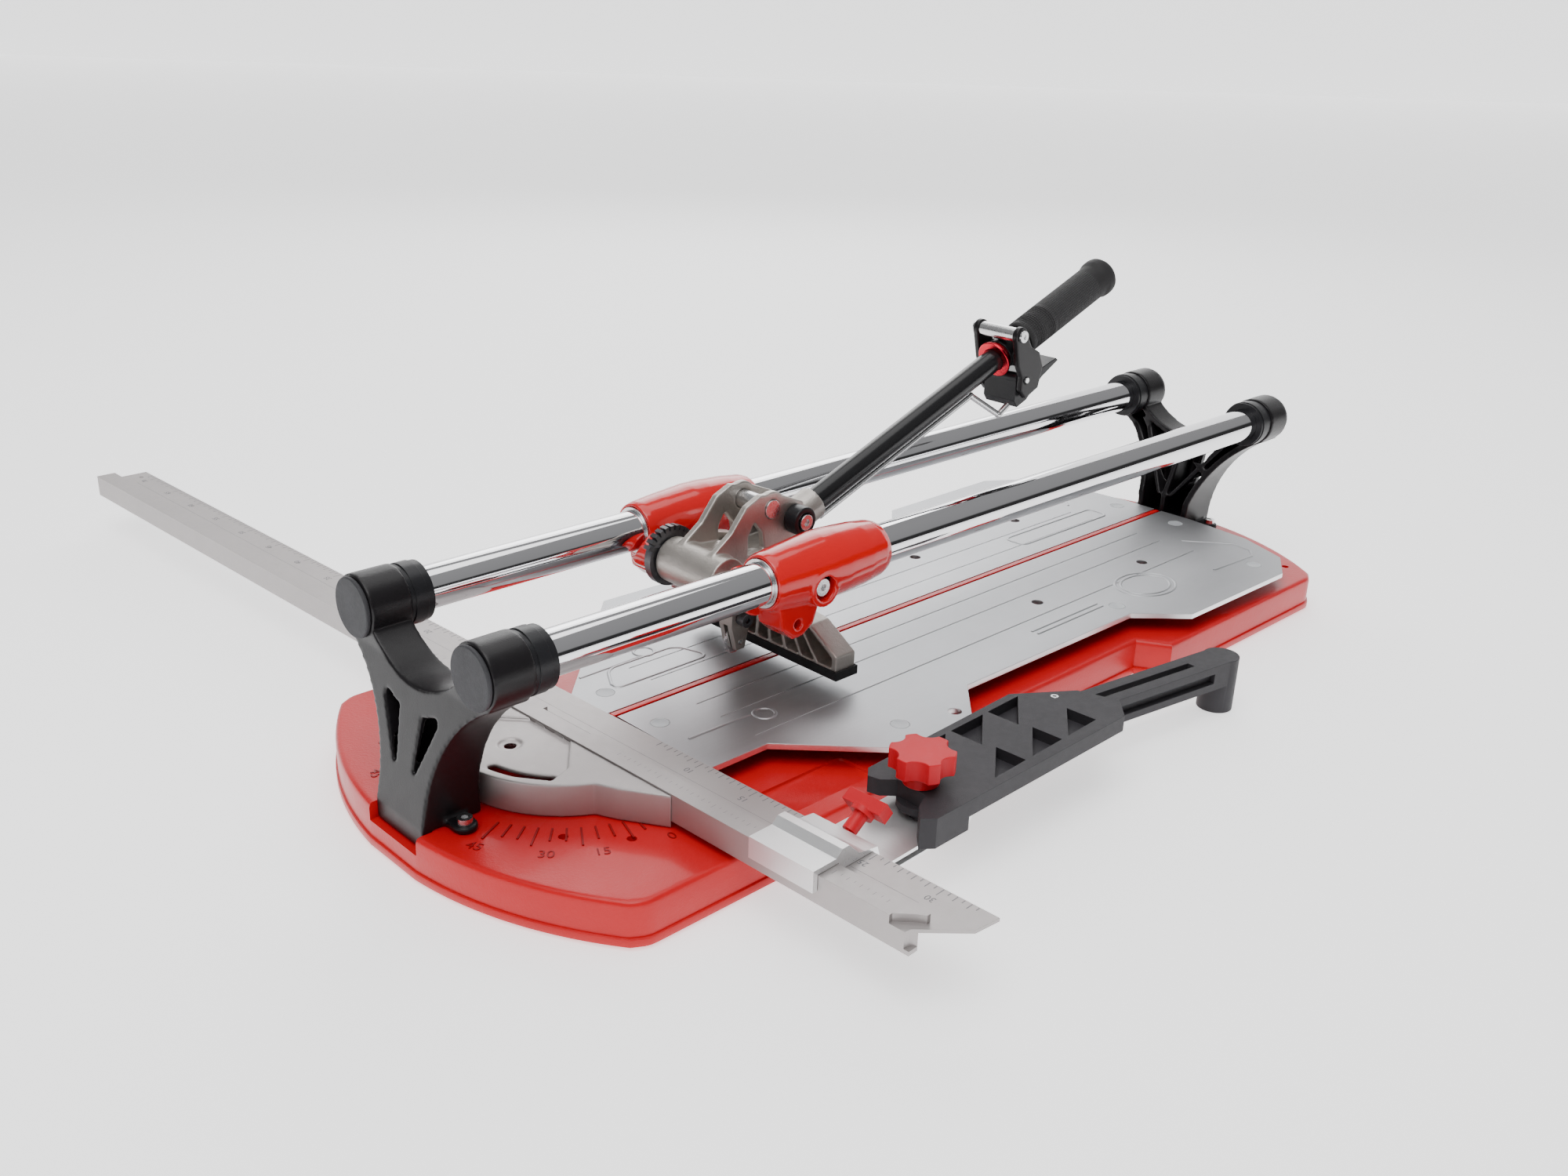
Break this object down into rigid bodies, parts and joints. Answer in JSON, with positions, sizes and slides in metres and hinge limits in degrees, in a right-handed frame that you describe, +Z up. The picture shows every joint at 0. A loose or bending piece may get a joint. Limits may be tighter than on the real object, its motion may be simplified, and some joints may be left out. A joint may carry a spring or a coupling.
{
  "type": "tile cutter",
  "caption": "Manual twin-rail tile cutter: red base with sprung tables, sliding carriage with a scoring wheel and long lever handle, swivelling square and side gauge.",
  "frame": {"origin": "on the cutting line, at floor level, under the middle rubber foot of the base", "axes": "+X along the rails from the square end to the handle end, +Y across the machine towards the long arm of the square, +Z up"},
  "size_m": [0.9354, 1.0658, 0.3134],
  "materials": {
    "red_base": "semi-gloss baked enamel",
    "red_gloss": "high-gloss enamel",
    "black_cast": "satin black powder coat",
    "black_plastic": "moulded satin black",
    "cap_plastic": "matte dark grey",
    "chrome": "mirror polish",
    "steel": "turned bright steel",
    "dark_steel": "blackened steel",
    "plate": "brushed and clear anodised",
    "blasted": "bead blasted",
    "cast_alloy": "warm grey casting",
    "rubber": "plain black rubber",
    "clear_rubber": "clear rubber over bright metal",
    "grip": "textured dark grey grip",
    "tube": "gloss black tube",
    "red_plastic": "moulded red",
    "red_anodised": "red anodised"
  },
  "bodies": {
    "frame": {"base_shell": "red_base", "breaking_bar": "red_base", "base_feet": "rubber", "support_near": "black_cast", "support_far": "black_cast", "rail_right": "chrome", "rail_left": "chrome", "end_caps": "cap_plastic", "rail_collars": "black_plastic", "support_bolts": "steel", "table_posts": "steel", "square_pin": "steel"},
    "table_right_body": {"table_right": "plate", "pads_right": "clear_rubber", "springs_right": "steel"},
    "table_left_body": {"table_left": "plate", "pads_left": "clear_rubber", "springs_left": "steel"},
    "square": {"swivel_body": "blasted", "square_bar": "blasted"},
    "slider_body": {"slider": "blasted", "clamp_bolt": "steel"},
    "slider_screw_body": {"slider_screw": "red_plastic"},
    "arm_body": {"gauge_arm": "black_plastic"},
    "star_body": {"star_knob": "red_plastic"},
    "extension_pivot": {"extension_screw": "steel"},
    "extension_body": {"gauge_extension": "black_plastic"},
    "carriage": {"housing_right": "red_gloss", "housing_left": "red_gloss", "rail_bearings": "steel", "carriage_axle": "steel", "ratchet_wheel": "black_plastic", "stop_pin": "steel", "bearing_screws": "steel"},
    "lever": {"lever_casting": "cast_alloy", "cross_roller": "steel", "lever_bosses": "black_plastic", "lever_screws": "steel", "handle_tube": "tube", "handle_grip": "grip", "trigger_bracket": "black_cast", "bracket_pin": "steel", "bracket_screws": "steel", "ring_clamp": "red_anodised", "trigger_pin": "steel", "pawl_pin": "steel", "wheel_holder": "cast_alloy", "wheel_bolt": "dark_steel", "wheel_axle": "steel", "foot_pin": "steel"},
    "wheel": {"scoring_wheel": "steel"},
    "foot": {"presser_foot": "cast_alloy", "foot_pad": "rubber"},
    "trigger_body": {"trigger": "black_plastic"},
    "rod": {"link_rod": "steel"},
    "pawl_body": {"pawl": "cast_alloy"}
  },
  "joints": [
    {"name": "table_right_sink", "type": "slide", "parent": "frame", "child": "table_right_body", "axis": [0, 0, -1], "range_m": [0, 0.003], "stiffness_N_per_m": 4000, "springref_m": -0.005, "deforming": ["springs_right"]},
    {"name": "table_left_sink", "type": "slide", "parent": "frame", "child": "table_left_body", "axis": [0, 0, -1], "range_m": [0, 0.003], "stiffness_N_per_m": 4000, "springref_m": -0.005, "deforming": ["springs_left"]},
    {"name": "square_swing", "type": "hinge", "parent": "frame", "child": "square", "pos_m": [-0.321, 0, 0.045], "axis": [0, 0, -1], "range_deg": [-2.5, 45]},
    {"name": "slider_slide", "type": "slide", "parent": "square", "child": "slider_body", "axis": [0.0384, -0.9993, 0], "range_m": [-0.005, 0.045]},
    {"name": "slider_screw_turn", "type": "hinge", "parent": "slider_body", "child": "slider_screw_body", "pos_m": [-0.27658, -0.21846, 0.048], "axis": [0.8185, 0.0314, 0.5736], "continuous": true},
    {"name": "arm_swing", "type": "hinge", "parent": "slider_body", "child": "arm_body", "pos_m": [-0.20659, -0.21677, 0.045], "axis": [0, 0, 1], "range_deg": [-30, 0]},
    {"name": "star_knob_turn", "type": "hinge", "parent": "slider_body", "child": "star_body", "pos_m": [-0.20659, -0.21677, 0.07], "axis": [0, 0, 1], "continuous": true},
    {"name": "extension_swing", "type": "hinge", "parent": "arm_body", "child": "extension_pivot", "pos_m": [-0.03918, -0.19833, 0.04], "axis": [0, 0, 1], "range_deg": [-20, 4]},
    {"name": "extension_slide", "type": "slide", "parent": "extension_pivot", "child": "extension_body", "axis": [0.9882, -0.153, 0], "range_m": [-0.045, 0]},
    {"name": "carriage_travel", "type": "slide", "parent": "frame", "child": "carriage", "axis": [1, 0, 0], "range_m": [-0.135, 0.51]},
    {"name": "lever_lift", "type": "hinge", "parent": "carriage", "child": "lever", "pos_m": [-0.205, 0, 0.137], "axis": [0, -1, 0], "range_deg": [-4.5, 18]},
    {"name": "wheel_spin", "type": "hinge", "parent": "lever", "child": "wheel", "pos_m": [-0.171, 0, 0.073], "axis": [0, -1, 0], "continuous": true},
    {"name": "foot_rock", "type": "hinge", "parent": "lever", "child": "foot", "pos_m": [-0.132, 0, 0.108], "axis": [0, -1, 0], "range_deg": [-8, 8]},
    {"name": "trigger_pull", "type": "hinge", "parent": "lever", "child": "trigger_body", "pos_m": [0.1311, 0, 0.2285], "axis": [0, -1, 0], "range_deg": [0, 12], "stiffness_Nm_per_rad": 0.4, "springref_deg": -20.05},
    {"name": "rod_slide", "type": "slide", "parent": "lever", "child": "rod", "axis": [0.9336, 0, 0.3584], "range_m": [0, 0.0042]},
    {"name": "pawl_lift", "type": "hinge", "parent": "lever", "child": "pawl_body", "pos_m": [-0.156, 0, 0.142], "axis": [0, 1, 0], "range_deg": [0, 10]}
  ],
  "couplings": [
    {"joint": "trigger_pull", "follows": "rod_slide", "rad_per_m": 49.8},
    {"joint": "pawl_lift", "follows": "rod_slide", "rad_per_m": 39.8}
  ]
}
